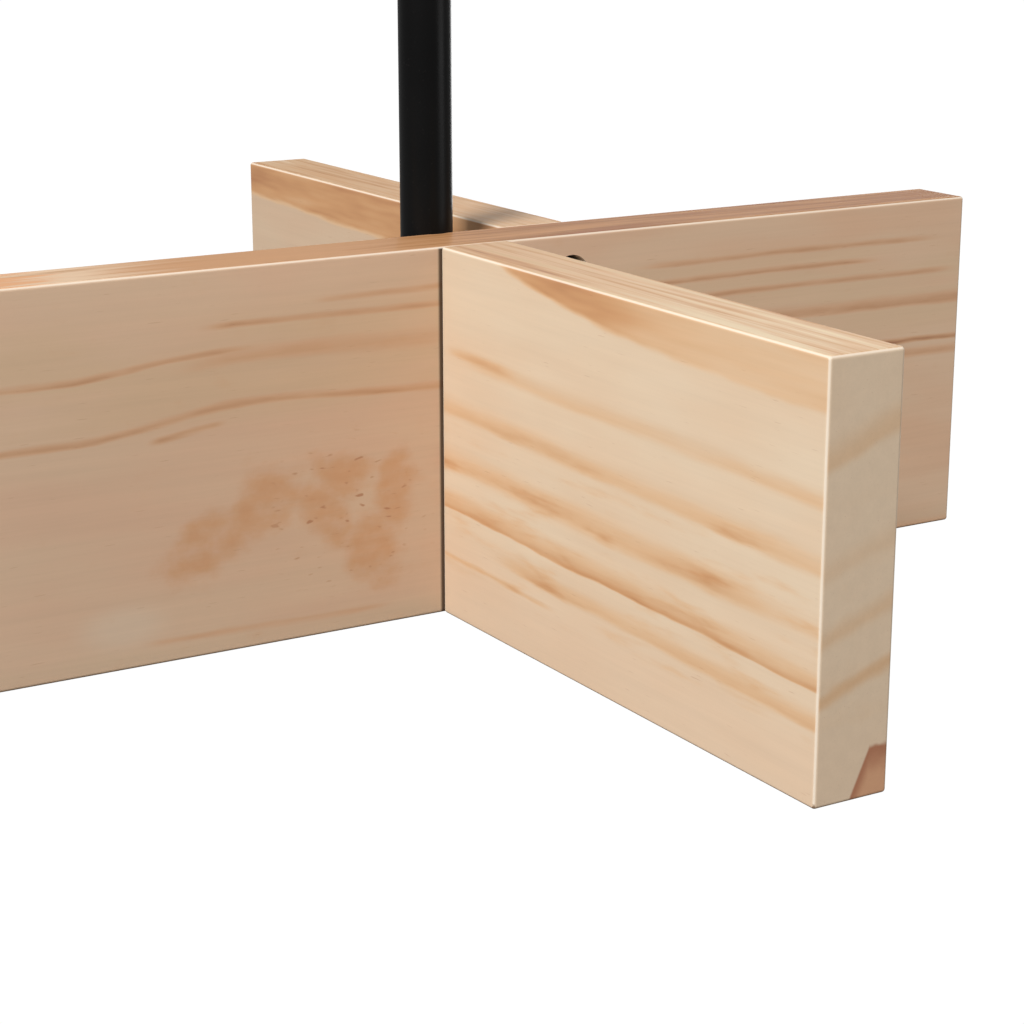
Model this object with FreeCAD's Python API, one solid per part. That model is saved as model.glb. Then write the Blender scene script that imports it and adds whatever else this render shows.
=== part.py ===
# Ceiling mounted rack: a staggered cross of three softwood boards on a black steel drop tube,
# which hangs from a screwed ceiling plate behind a sliding canopy.
# Millimetres, +Z up. The origin is the centre of the ceiling plate's upper face, on the tube's axis.
# X runs along the long board, and Y from the front short board to the rear short board.
import FreeCAD
import Part
import os

# --- driving dimensions ---------------------------------------------------------------------
TOTAL_DROP = 400.0          # ceiling to the underside of the boards

BOARD_HEIGHT = 89.0         # all three boards are cut from one planed section
BOARD_THICKNESS = 18.0
BOARD_ARRIS = 0.8           # radius on every long and end edge
LONG_BOARD_LENGTH = 300.0
SHORT_BOARD_LENGTH = 144.0
BOARD_STAGGER = 27.0        # sideways step from the front short board to the rear one

TUBE_DIAMETER = 12.7
TUBE_WALL = 1.5
SADDLE_DEPTH = 1.3          # how deep the tube lies in the long board's back face
TUBE_FOOT_RECESS = 1.6      # tube's lower end above the boards' underside

BOLT_DIAMETER = 5.0
BOLT_HEAD_DIAMETER = 8.5
BOLT_HEAD_HEIGHT = 5.0
BOLT_SOCKET_FLATS = 4.0
BOLT_SOCKET_DEPTH = 2.6
BOLT_EDGE_DISTANCE = 24.5   # tube bolts in from the boards' upper and lower edges
BOLT_BITE = 8.0             # bolt past the barrel nut's centre
BARREL_NUT_DIAMETER = 10.0
BARREL_NUT_LENGTH = 13.0
BARREL_NUT_SETBACK = 28.0   # from the long board's front face to the nut's axis
BARREL_NUT_INSET = 0.8      # nut's slotted end below the board's face
BARREL_NUT_FLOOR = 0.6      # air behind the nut's inner end
NUT_SLOT_WIDTH = 1.4
NUT_SLOT_DEPTH = 1.8
WASHER_DIAMETER = 11.0
WASHER_CROWN = 2.0          # washer left behind the tube's back

WOOD_SCREW_DIAMETER = 5.0
WOOD_SCREW_LENGTH = 60.0
WOOD_SCREW_HEAD_DIAMETER = 9.0
WOOD_SCREW_HEAD_HEIGHT = 3.0
WOOD_SCREW_POINT = 6.0
SCREW_EDGE_DISTANCE = 10.0  # rear board screws in from the boards' edges
COUNTERBORE_DIAMETER = 10.0
COUNTERBORE_DEPTH = 5.0
DRIVE_FLATS = 4.0
DRIVE_DEPTH = 2.0

DOWEL_DIAMETER = 8.0
DOWEL_LENGTH = 28.0
DOWEL_IN_LONG_BOARD = 11.0
DOWEL_CHAMFER = 0.8
DOWEL_END_ROOM = 1.0        # hole deeper than the dowel at each end
FRONT_DOWEL_EDGE_DISTANCE = 10.5
REAR_DOWEL_EDGE_DISTANCE = 30.5

FOOT_PLUG_FLANGE = 1.4
FOOT_PLUG_DEPTH = 14.0
FOOT_PLUG_RIBS = 3
FOOT_PLUG_RIB_HEIGHT = 1.6
FOOT_PLUG_CORE_GAP = 0.9    # core of the plug inside the tube's bore

PLATE_DIAMETER = 70.0
PLATE_THICKNESS = 3.0
PLATE_HOLE_CIRCLE = 54.0
PLATE_HOLE_COUNT = 4
PLATE_HOLE_DIAMETER = 5.5
PLATE_EDGE_RADIUS = 0.8
SOCKET_DIAMETER = 24.0
SOCKET_LENGTH = 22.0
SOCKET_TUBE_DEPTH = 15.0    # tube held inside the socket
SOCKET_EDGE_RADIUS = 0.8
CENTRE_SCREW_DIAMETER = 6.0
CENTRE_SCREW_HEAD_DIAMETER = 11.0
CENTRE_SCREW_HEAD_RISE = 2.6
CENTRE_SCREW_BITE = 5.5     # thread inside the socket
GRUB_DIAMETER = 4.0
GRUB_FLATS = 2.0
GRUB_DRIVE_DEPTH = 1.8
GRUB_PROUD = 0.6            # grub screw standing out of the socket's side
SOCKET_GRUB_COUNT = 3
SOCKET_GRUB_LEVEL = 8.0     # above the socket's lower face

CANOPY_DIAMETER = 96.0
CANOPY_DEPTH = 30.0
CANOPY_WALL = 1.2
CANOPY_CORNER = 7.0         # outer radius where the wall turns into the floor
CANOPY_RIM_GAP = 0.5        # rim below the ceiling
BUSH_FLANGE_DIAMETER = 20.0
BUSH_FLANGE_THICKNESS = 1.5
BUSH_SLEEVE_WALL = 1.8
BUSH_CHAMFER = 0.4
COLLAR_DIAMETER = 22.0
COLLAR_LENGTH = 11.0
COLLAR_EDGE_RADIUS = 1.0

FIT_GAP = 0.05              # radial room between pieces of one body
RUNNING_GAP = 0.05          # radial room of the bush on the tube
CLEARANCE_HOLE = 0.3        # radial room of a bolt in its through hole

# --- places worked out from them ------------------------------------------------------------
UNDERSIDE_Z = -TOTAL_DROP
BOARD_TOP_Z = UNDERSIDE_Z + BOARD_HEIGHT
TUBE_RADIUS = TUBE_DIAMETER / 2.0
TUBE_BORE_RADIUS = TUBE_RADIUS - TUBE_WALL
BACK_FACE_Y = -(TUBE_RADIUS - SADDLE_DEPTH)
FRONT_FACE_Y = BACK_FACE_Y - BOARD_THICKNESS
FRONT_END_Y = FRONT_FACE_Y - SHORT_BOARD_LENGTH
REAR_END_Y = BACK_FACE_Y + SHORT_BOARD_LENGTH
HALF_BOARD = BOARD_THICKNESS / 2.0
REAR_BOARD_X = BOARD_STAGGER
BOLT_LEVELS = [UNDERSIDE_Z + BOLT_EDGE_DISTANCE, BOARD_TOP_Z - BOLT_EDGE_DISTANCE]
SCREW_LEVELS = [UNDERSIDE_Z + SCREW_EDGE_DISTANCE, BOARD_TOP_Z - SCREW_EDGE_DISTANCE]
FRONT_DOWEL_LEVELS = [UNDERSIDE_Z + FRONT_DOWEL_EDGE_DISTANCE,
                      BOARD_TOP_Z - FRONT_DOWEL_EDGE_DISTANCE]
REAR_DOWEL_LEVELS = [UNDERSIDE_Z + REAR_DOWEL_EDGE_DISTANCE,
                     BOARD_TOP_Z - REAR_DOWEL_EDGE_DISTANCE]
BARREL_NUT_Y = FRONT_FACE_Y - BARREL_NUT_SETBACK
BOLT_SEAT_Y = TUBE_RADIUS + WASHER_CROWN
BOLT_TIP_Y = BARREL_NUT_Y - BOLT_BITE
PLATE_LOWER_Z = -PLATE_THICKNESS
SOCKET_LOWER_Z = PLATE_LOWER_Z - SOCKET_LENGTH
TUBE_TOP_Z = SOCKET_LOWER_Z + SOCKET_TUBE_DEPTH
TUBE_FOOT_Z = UNDERSIDE_Z + TUBE_FOOT_RECESS
RIM_Z = -CANOPY_RIM_GAP
CANOPY_FLOOR_Z = RIM_Z - CANOPY_DEPTH
BUSH_SLEEVE_RADIUS = TUBE_RADIUS + RUNNING_GAP + BUSH_SLEEVE_WALL
COLLAR_TOP_Z = CANOPY_FLOOR_Z
COLLAR_FOOT_Z = COLLAR_TOP_Z - COLLAR_LENGTH

X_AXIS = FreeCAD.Vector(1, 0, 0)
Y_AXIS = FreeCAD.Vector(0, 1, 0)
Z_AXIS = FreeCAD.Vector(0, 0, 1)
ORIGIN = FreeCAD.Vector(0, 0, 0)
SPILL = 1.0                 # how far a cutting tool runs past the face it opens


# --- shapes shared by several pieces ----------------------------------------------------------
def block(x_range, y_range, z_range):
    """A box between three pairs of limits."""
    corner = FreeCAD.Vector(x_range[0], y_range[0], z_range[0])
    return Part.makeBox(x_range[1] - x_range[0], y_range[1] - y_range[0],
                        z_range[1] - z_range[0], corner)


def rod_z(radius, low, high, x=0.0, y=0.0):
    """An upright cylinder."""
    return Part.makeCylinder(radius, high - low, FreeCAD.Vector(x, y, low), Z_AXIS)


def rod_y(radius, low, high, x, z):
    """A cylinder along Y."""
    return Part.makeCylinder(radius, high - low, FreeCAD.Vector(x, low, z), Y_AXIS)


def rod_x(radius, low, high, y, z):
    """A cylinder along X."""
    return Part.makeCylinder(radius, high - low, FreeCAD.Vector(low, y, z), X_AXIS)


def hexagon(flats, depth, base, direction):
    """A hexagonal prism that starts at base and runs along direction."""
    prism = Part.Face(Part.makePolygon(hexagon_corners(flats))).extrude(Z_AXIS * depth)
    turn = FreeCAD.Rotation(Z_AXIS, direction)
    prism.Placement = FreeCAD.Placement(base, turn)
    return prism


def hexagon_corners(flats):
    """The closed outline of a hexagon in the XY plane, flats measured across."""
    corner = FreeCAD.Vector(flats / 3.0 ** 0.5, 0, 0)
    turns = [FreeCAD.Rotation(Z_AXIS, 60.0 * step) for step in range(7)]
    return [turn.multVec(corner) for turn in turns]


def round_edges(shape, radius, chosen):
    """Rounds the edges that chosen picks."""
    return shape.makeFillet(radius, [edge for edge in shape.Edges if chosen(edge)])


def is_straight(edge):
    return isinstance(edge.Curve, Part.Line)


def circle_at(edge, level, radius):
    """True for a full circle of that radius at height level."""
    if not isinstance(edge.Curve, Part.Circle):
        return False
    return abs(edge.Curve.Radius - radius) < 1e-6 and abs(edge.Curve.Center.z - level) < 1e-6


def group(shapes):
    """Several separate solids in one node."""
    return Part.makeCompound(shapes)


def save(name, shape):
    shape.exportStep(os.path.join("parts", name + ".step"))


# --- the three boards -------------------------------------------------------------------------
def plain_board(x_range, y_range):
    """A board on edge with its arrises eased."""
    board = block(x_range, y_range, (UNDERSIDE_Z, BOARD_TOP_Z))
    return round_edges(board, BOARD_ARRIS, is_straight)


def dowel_holes(x, levels, face_y, depth_y):
    """Blind holes for dowels from face_y to depth_y, opened past the face."""
    opened = face_y + (SPILL if face_y > depth_y else -SPILL)
    low, high = min(depth_y, opened), max(depth_y, opened)
    return [rod_y(DOWEL_DIAMETER / 2.0 + FIT_GAP, low, high, x, z) for z in levels]


def make_long_board():
    board = plain_board((-LONG_BOARD_LENGTH / 2.0, LONG_BOARD_LENGTH / 2.0),
                        (FRONT_FACE_Y, BACK_FACE_Y))
    cuts = [rod_z(TUBE_RADIUS + FIT_GAP, UNDERSIDE_Z - SPILL, BOARD_TOP_Z + SPILL)]
    for z in BOLT_LEVELS:
        cuts.append(rod_y(BOLT_DIAMETER / 2.0 + CLEARANCE_HOLE,
                          FRONT_FACE_Y - SPILL, BACK_FACE_Y + SPILL, 0.0, z))
    for z in SCREW_LEVELS:
        cuts.append(rod_y(WOOD_SCREW_DIAMETER / 2.0 + CLEARANCE_HOLE,
                          FRONT_FACE_Y - SPILL, BACK_FACE_Y + SPILL, REAR_BOARD_X, z))
        cuts.append(rod_y(COUNTERBORE_DIAMETER / 2.0, FRONT_FACE_Y - SPILL,
                          FRONT_FACE_Y + COUNTERBORE_DEPTH, REAR_BOARD_X, z))
    depth = DOWEL_IN_LONG_BOARD + DOWEL_END_ROOM
    cuts += dowel_holes(0.0, FRONT_DOWEL_LEVELS, FRONT_FACE_Y, FRONT_FACE_Y + depth)
    cuts += dowel_holes(REAR_BOARD_X, REAR_DOWEL_LEVELS, BACK_FACE_Y, BACK_FACE_Y - depth)
    return board.cut(cuts)


def make_front_short_board():
    board = plain_board((-HALF_BOARD, HALF_BOARD), (FRONT_END_Y, FRONT_FACE_Y))
    cuts = []
    for z in BOLT_LEVELS:
        cuts.append(rod_y(BOLT_DIAMETER / 2.0 + CLEARANCE_HOLE,
                          BOLT_TIP_Y - SPILL, FRONT_FACE_Y + SPILL, 0.0, z))
        nut_end = HALF_BOARD - BARREL_NUT_INSET - BARREL_NUT_LENGTH
        cuts.append(rod_x(BARREL_NUT_DIAMETER / 2.0 + FIT_GAP, nut_end - BARREL_NUT_FLOOR,
                          HALF_BOARD + SPILL, BARREL_NUT_Y, z))
    depth = DOWEL_LENGTH - DOWEL_IN_LONG_BOARD + DOWEL_END_ROOM
    cuts += dowel_holes(0.0, FRONT_DOWEL_LEVELS, FRONT_FACE_Y, FRONT_FACE_Y - depth)
    return board.cut(cuts)


def make_rear_short_board():
    board = plain_board((REAR_BOARD_X - HALF_BOARD, REAR_BOARD_X + HALF_BOARD),
                        (BACK_FACE_Y, REAR_END_Y))
    cuts = []
    for z in SCREW_LEVELS:
        cuts.append(wood_screw(z, FIT_GAP))
    depth = DOWEL_LENGTH - DOWEL_IN_LONG_BOARD + DOWEL_END_ROOM
    cuts += dowel_holes(REAR_BOARD_X, REAR_DOWEL_LEVELS, BACK_FACE_Y, BACK_FACE_Y + depth)
    return board.cut(cuts)


# --- what holds the boards together -----------------------------------------------------------
def wood_screw(z, grow=0.0):
    """A pan head screw into the rear board's end grain; grow makes its pilot hole."""
    head_y = FRONT_FACE_Y + COUNTERBORE_DEPTH
    point_y = head_y + WOOD_SCREW_LENGTH
    radius = WOOD_SCREW_DIAMETER / 2.0 + grow
    neck_y = point_y - WOOD_SCREW_POINT
    shank = rod_y(radius, head_y, neck_y, REAR_BOARD_X, z)
    point = Part.makeCone(radius, radius / 4.0, WOOD_SCREW_POINT + grow,
                          FreeCAD.Vector(REAR_BOARD_X, neck_y, z), Y_AXIS)
    return shank.fuse(point).removeSplitter()


def make_rear_board_screws():
    screws = []
    head_y = FRONT_FACE_Y + COUNTERBORE_DEPTH
    for z in SCREW_LEVELS:
        head = rod_y(WOOD_SCREW_HEAD_DIAMETER / 2.0, head_y - WOOD_SCREW_HEAD_HEIGHT,
                     head_y, REAR_BOARD_X, z)
        head = round_edges(head, WOOD_SCREW_HEAD_HEIGHT / 3.0,
                           lambda edge: edge.CenterOfMass.y < head_y - SPILL
                           and isinstance(edge.Curve, Part.Circle))
        drive = hexagon(DRIVE_FLATS, DRIVE_DEPTH,
                        FreeCAD.Vector(REAR_BOARD_X, head_y - WOOD_SCREW_HEAD_HEIGHT, z), Y_AXIS)
        screws.append(head.fuse(wood_screw(z)).cut(drive).removeSplitter())
    return group(screws)


def make_tube_bolts():
    bolts = []
    for z in BOLT_LEVELS:
        shank = rod_y(BOLT_DIAMETER / 2.0, BOLT_TIP_Y, BOLT_SEAT_Y, 0.0, z)
        head_end = BOLT_SEAT_Y + BOLT_HEAD_HEIGHT
        head = rod_y(BOLT_HEAD_DIAMETER / 2.0, BOLT_SEAT_Y, head_end, 0.0, z)
        drive = hexagon(BOLT_SOCKET_FLATS, BOLT_SOCKET_DEPTH + SPILL,
                        FreeCAD.Vector(0, head_end + SPILL, z), Y_AXIS * -1)
        bolts.append(shank.fuse(head).cut(drive).removeSplitter())
    return group(bolts)


def make_barrel_nuts():
    nuts = []
    outer = HALF_BOARD - BARREL_NUT_INSET
    for z in BOLT_LEVELS:
        nut = rod_x(BARREL_NUT_DIAMETER / 2.0, outer - BARREL_NUT_LENGTH, outer, BARREL_NUT_Y, z)
        thread = rod_y(BOLT_DIAMETER / 2.0 + FIT_GAP, BARREL_NUT_Y - BARREL_NUT_DIAMETER,
                       BARREL_NUT_Y + BARREL_NUT_DIAMETER, 0.0, z)
        half_slot = NUT_SLOT_WIDTH / 2.0
        slot = block((outer - NUT_SLOT_DEPTH, outer + SPILL),
                     (BARREL_NUT_Y - BARREL_NUT_DIAMETER, BARREL_NUT_Y + BARREL_NUT_DIAMETER),
                     (z - half_slot, z + half_slot))
        nuts.append(nut.cut([thread, slot]))
    return group(nuts)


def make_saddle_washers():
    washers = []
    tube = rod_z(TUBE_RADIUS + FIT_GAP, UNDERSIDE_Z, BOARD_TOP_Z)
    seat = BOLT_SEAT_Y - TUBE_RADIUS + TUBE_RADIUS / 2.0
    for z in BOLT_LEVELS:
        washer = rod_y(WASHER_DIAMETER / 2.0, BOLT_SEAT_Y - seat, BOLT_SEAT_Y, 0.0, z)
        hole = rod_y(BOLT_DIAMETER / 2.0 + CLEARANCE_HOLE, 0.0, BOLT_SEAT_Y + SPILL, 0.0, z)
        washers.append(washer.cut([tube, hole]))
    return group(washers)


def dowels(x, levels, low_y):
    """Chamfered dowels along Y from low_y."""
    made = []
    for z in levels:
        dowel = rod_y(DOWEL_DIAMETER / 2.0, low_y, low_y + DOWEL_LENGTH, x, z)
        rims = [edge for edge in dowel.Edges if isinstance(edge.Curve, Part.Circle)]
        made.append(dowel.makeChamfer(DOWEL_CHAMFER, rims))
    return group(made)


def make_front_joint_dowels():
    return dowels(0.0, FRONT_DOWEL_LEVELS, FRONT_FACE_Y + DOWEL_IN_LONG_BOARD - DOWEL_LENGTH)


def make_rear_joint_dowels():
    return dowels(REAR_BOARD_X, REAR_DOWEL_LEVELS, BACK_FACE_Y - DOWEL_IN_LONG_BOARD)


# --- the drop tube ------------------------------------------------------------------------------
def make_drop_tube():
    tube = rod_z(TUBE_RADIUS, TUBE_FOOT_Z, TUBE_TOP_Z)
    cuts = [rod_z(TUBE_BORE_RADIUS, TUBE_FOOT_Z - SPILL, TUBE_TOP_Z + SPILL)]
    for z in BOLT_LEVELS:
        cuts.append(rod_y(BOLT_DIAMETER / 2.0 + CLEARANCE_HOLE, -TUBE_DIAMETER, TUBE_DIAMETER, 0.0, z))
    return tube.cut(cuts)


def make_tube_foot_plug():
    flange = rod_z(TUBE_RADIUS, TUBE_FOOT_Z - FOOT_PLUG_FLANGE, TUBE_FOOT_Z)
    core = rod_z(TUBE_BORE_RADIUS - FOOT_PLUG_CORE_GAP, TUBE_FOOT_Z - FOOT_PLUG_FLANGE / 2.0,
                 TUBE_FOOT_Z + FOOT_PLUG_DEPTH)
    pitch = FOOT_PLUG_DEPTH / FOOT_PLUG_RIBS
    ribs = []
    for step in range(FOOT_PLUG_RIBS):
        low = TUBE_FOOT_Z + pitch * (step + 0.5) - FOOT_PLUG_RIB_HEIGHT / 2.0
        ribs.append(rod_z(TUBE_BORE_RADIUS - FIT_GAP, low, low + FOOT_PLUG_RIB_HEIGHT))
    plug = flange.fuse([core] + ribs).removeSplitter()
    return round_edges(plug, FOOT_PLUG_FLANGE / 2.0,
                       lambda edge: circle_at(edge, TUBE_FOOT_Z - FOOT_PLUG_FLANGE, TUBE_RADIUS))


# --- the ceiling end ------------------------------------------------------------------------------
def centre_screw(grow=0.0):
    """Countersunk screw, head up; grow gives the room around it."""
    radius = CENTRE_SCREW_DIAMETER / 2.0 + grow
    head = Part.makeCone(radius, CENTRE_SCREW_HEAD_DIAMETER / 2.0 + grow, CENTRE_SCREW_HEAD_RISE,
                         FreeCAD.Vector(0, 0, -CENTRE_SCREW_HEAD_RISE), Z_AXIS)
    shank = rod_z(radius, PLATE_LOWER_Z - CENTRE_SCREW_BITE, -CENTRE_SCREW_HEAD_RISE)
    return head.fuse(shank).removeSplitter()


def make_ceiling_plate():
    plate = rod_z(PLATE_DIAMETER / 2.0, PLATE_LOWER_Z, 0.0)
    plate = round_edges(plate, PLATE_EDGE_RADIUS,
                        lambda edge: circle_at(edge, PLATE_LOWER_Z, PLATE_DIAMETER / 2.0))
    cuts = [centre_screw(FIT_GAP)]
    for step in range(PLATE_HOLE_COUNT):
        turn = FreeCAD.Rotation(Z_AXIS, 360.0 * (step + 0.5) / PLATE_HOLE_COUNT)
        at = turn.multVec(FreeCAD.Vector(PLATE_HOLE_CIRCLE / 2.0, 0, 0))
        cuts.append(rod_z(PLATE_HOLE_DIAMETER / 2.0, PLATE_LOWER_Z - SPILL, SPILL, at.x, at.y))
    return plate.cut(cuts)


def make_plate_centre_screw():
    drive = hexagon(BOLT_SOCKET_FLATS, BOLT_SOCKET_DEPTH, ORIGIN, Z_AXIS * -1)
    return centre_screw().cut(drive)


def make_tube_socket():
    socket = rod_z(SOCKET_DIAMETER / 2.0, SOCKET_LOWER_Z, PLATE_LOWER_Z)
    socket = round_edges(socket, SOCKET_EDGE_RADIUS,
                         lambda edge: circle_at(edge, SOCKET_LOWER_Z, SOCKET_DIAMETER / 2.0))
    cuts = [rod_z(TUBE_RADIUS + FIT_GAP, SOCKET_LOWER_Z - SPILL, TUBE_TOP_Z + FIT_GAP),
            centre_screw(FIT_GAP)]
    for turn in socket_grub_turns():
        cuts.append(radial_rod(GRUB_DIAMETER / 2.0 + FIT_GAP, TUBE_BORE_RADIUS,
                               SOCKET_DIAMETER, SOCKET_LOWER_Z + SOCKET_GRUB_LEVEL, turn))
    return socket.cut(cuts)


def socket_grub_turns():
    """The directions of the grub screws round the socket, in degrees from +X."""
    return [90.0 + 360.0 * step / SOCKET_GRUB_COUNT for step in range(SOCKET_GRUB_COUNT)]


def radial_rod(radius, inner, outer, z, turn):
    """A cylinder that points away from the tube's axis."""
    rod = rod_x(radius, inner, outer, 0.0, z)
    rod.rotate(ORIGIN, Z_AXIS, turn)
    return rod


def grub_screw(inner, outer, z, turn):
    """A headless screw with a hexagon recess in its outer end."""
    screw = rod_x(GRUB_DIAMETER / 2.0, inner, outer, 0.0, z)
    drive = hexagon(GRUB_FLATS, GRUB_DRIVE_DEPTH + SPILL,
                    FreeCAD.Vector(outer + SPILL, 0, z), X_AXIS * -1)
    screw = screw.cut(drive)
    screw.rotate(ORIGIN, Z_AXIS, turn)
    return screw


def make_socket_grub_screws():
    inner = TUBE_RADIUS + FIT_GAP
    outer = SOCKET_DIAMETER / 2.0 + GRUB_PROUD
    level = SOCKET_LOWER_Z + SOCKET_GRUB_LEVEL
    return group([grub_screw(inner, outer, level, turn) for turn in socket_grub_turns()])


# --- the sliding canopy ----------------------------------------------------------------------------
def make_canopy():
    """A spun cup, open upwards, with a hole for the bush in its floor."""
    outer = rod_z(CANOPY_DIAMETER / 2.0, CANOPY_FLOOR_Z, RIM_Z)
    outer = round_edges(outer, CANOPY_CORNER,
                        lambda edge: circle_at(edge, CANOPY_FLOOR_Z, CANOPY_DIAMETER / 2.0))
    inner_radius = CANOPY_DIAMETER / 2.0 - CANOPY_WALL
    inner_floor = CANOPY_FLOOR_Z + CANOPY_WALL
    inner = rod_z(inner_radius, inner_floor, RIM_Z + SPILL)
    inner = round_edges(inner, CANOPY_CORNER - CANOPY_WALL,
                        lambda edge: circle_at(edge, inner_floor, inner_radius))
    hole = rod_z(BUSH_SLEEVE_RADIUS + FIT_GAP, CANOPY_FLOOR_Z - SPILL, inner_floor + SPILL)
    return outer.cut([inner, hole])


def make_canopy_bush():
    """A flanged sleeve: the flange lies on the canopy's floor, the sleeve goes down into the collar."""
    floor = CANOPY_FLOOR_Z + CANOPY_WALL
    flange = rod_z(BUSH_FLANGE_DIAMETER / 2.0, floor, floor + BUSH_FLANGE_THICKNESS)
    flange = round_edges(flange, BUSH_CHAMFER,
                         lambda edge: circle_at(edge, floor + BUSH_FLANGE_THICKNESS,
                                                BUSH_FLANGE_DIAMETER / 2.0))
    sleeve = rod_z(BUSH_SLEEVE_RADIUS, COLLAR_FOOT_Z, floor)
    bore = rod_z(TUBE_RADIUS + RUNNING_GAP, COLLAR_FOOT_Z - SPILL,
                 floor + BUSH_FLANGE_THICKNESS + SPILL)
    return flange.fuse(sleeve).removeSplitter().cut(bore)


def make_canopy_collar():
    """A round collar under the canopy that clamps the bush's sleeve to the tube."""
    collar = rod_z(COLLAR_DIAMETER / 2.0, COLLAR_FOOT_Z, COLLAR_TOP_Z)
    collar = round_edges(collar, COLLAR_EDGE_RADIUS,
                         lambda edge: circle_at(edge, COLLAR_FOOT_Z, COLLAR_DIAMETER / 2.0))
    bore = rod_z(BUSH_SLEEVE_RADIUS + FIT_GAP, COLLAR_FOOT_Z - SPILL, COLLAR_TOP_Z + SPILL)
    level = (COLLAR_FOOT_Z + COLLAR_TOP_Z) / 2.0
    tapped = radial_rod(GRUB_DIAMETER / 2.0 + FIT_GAP, TUBE_RADIUS, COLLAR_DIAMETER, level, 90.0)
    return collar.cut([bore, tapped])


def make_canopy_grub_screw():
    level = (COLLAR_FOOT_Z + COLLAR_TOP_Z) / 2.0
    return grub_screw(BUSH_SLEEVE_RADIUS + FIT_GAP, COLLAR_DIAMETER / 2.0 - FIT_GAP, level, 90.0)


NODES = {
    "long_board": make_long_board,
    "front_short_board": make_front_short_board,
    "rear_short_board": make_rear_short_board,
    "rear_board_screws": make_rear_board_screws,
    "tube_bolts": make_tube_bolts,
    "barrel_nuts": make_barrel_nuts,
    "saddle_washers": make_saddle_washers,
    "front_joint_dowels": make_front_joint_dowels,
    "rear_joint_dowels": make_rear_joint_dowels,
    "drop_tube": make_drop_tube,
    "tube_foot_plug": make_tube_foot_plug,
    "ceiling_plate": make_ceiling_plate,
    "plate_centre_screw": make_plate_centre_screw,
    "tube_socket": make_tube_socket,
    "socket_grub_screws": make_socket_grub_screws,
    "canopy": make_canopy,
    "canopy_bush": make_canopy_bush,
    "canopy_collar": make_canopy_collar,
    "canopy_grub_screw": make_canopy_grub_screw,
}

os.makedirs("parts", exist_ok=True)
for node_name, make_node in NODES.items():
    save(node_name, make_node())
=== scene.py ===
import math
import bpy
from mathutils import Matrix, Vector


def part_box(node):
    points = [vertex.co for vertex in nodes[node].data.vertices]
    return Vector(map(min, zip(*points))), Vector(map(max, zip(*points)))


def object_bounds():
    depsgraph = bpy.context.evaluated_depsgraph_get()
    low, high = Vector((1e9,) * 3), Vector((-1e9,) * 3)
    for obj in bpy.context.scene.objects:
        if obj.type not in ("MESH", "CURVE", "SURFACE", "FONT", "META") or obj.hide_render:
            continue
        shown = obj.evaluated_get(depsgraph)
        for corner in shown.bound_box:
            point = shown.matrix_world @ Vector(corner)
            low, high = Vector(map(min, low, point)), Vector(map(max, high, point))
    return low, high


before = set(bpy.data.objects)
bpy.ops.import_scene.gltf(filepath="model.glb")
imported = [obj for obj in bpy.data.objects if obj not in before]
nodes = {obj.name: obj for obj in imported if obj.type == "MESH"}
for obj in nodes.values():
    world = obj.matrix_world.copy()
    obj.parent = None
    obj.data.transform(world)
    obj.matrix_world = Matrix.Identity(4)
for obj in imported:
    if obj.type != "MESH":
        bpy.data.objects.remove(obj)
cad_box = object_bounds()


# ---- Long board ------------------------------------------------------------------------------
# The long board is a planed one by four pine, cut flat sawn, 300 mm long and set on edge.
# Its back face has a shallow groove for the tube, and its front two counterbores for long screws.
MM = 0.001


def add(tree, kind, sockets=None, **settings):
    """A shader node. A socket given as a value is linked, and anything else is set."""
    made = tree.nodes.new("ShaderNode" + kind)
    for name, value in settings.items():
        setattr(made, name, value)
    for key, value in (sockets or {}).items():
        if isinstance(value, bpy.types.NodeSocket):
            tree.links.new(value, made.inputs[key])
        else:
            made.inputs[key].default_value = value
    return made


def calc(tree, operation, *values):
    """A sum on numbers or sockets."""
    return add(tree, "Math", dict(enumerate(values)), operation=operation).outputs[0]


def total(tree, values):
    """All the values added up."""
    made = values[0]
    for value in values[1:]:
        made = calc(tree, "ADD", made, value)
    return made


def rise(tree, value, low, high, to_low=0.0, to_high=1.0):
    """A smooth step from to_low at low to to_high at high."""
    made = add(tree, "MapRange", {"Value": value, "From Min": low, "From Max": high,
                                  "To Min": to_low, "To Max": to_high},
               interpolation_type="SMOOTHSTEP")
    return made.outputs["Result"]


def span(tree, value, low, high, fade):
    """1 between low and high, fading to 0 over fade outside them."""
    enter = rise(tree, value, low - fade, low)
    leave = rise(tree, value, high, high + fade, 1.0, 0.0)
    return calc(tree, "MULTIPLY", enter, leave)


def blend(tree, amount, first, second, mode="MIX"):
    """Two colours mixed by amount."""
    made = add(tree, "Mix", {0: amount, 6: first, 7: second}, data_type="RGBA", blend_type=mode)
    return made.outputs[2]


def millimetres(tree, start, direction):
    """How far a point of the piece lies from start along direction, in millimetres."""
    here = add(tree, "TexCoord").outputs["Object"]
    offset = add(tree, "VectorMath", {0: here, 1: tuple(start)}, operation="SUBTRACT").outputs[0]
    scaled = tuple(Vector(direction) / MM)
    return add(tree, "VectorMath", {0: offset, 1: scaled}, operation="DOT_PRODUCT").outputs["Value"]


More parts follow.
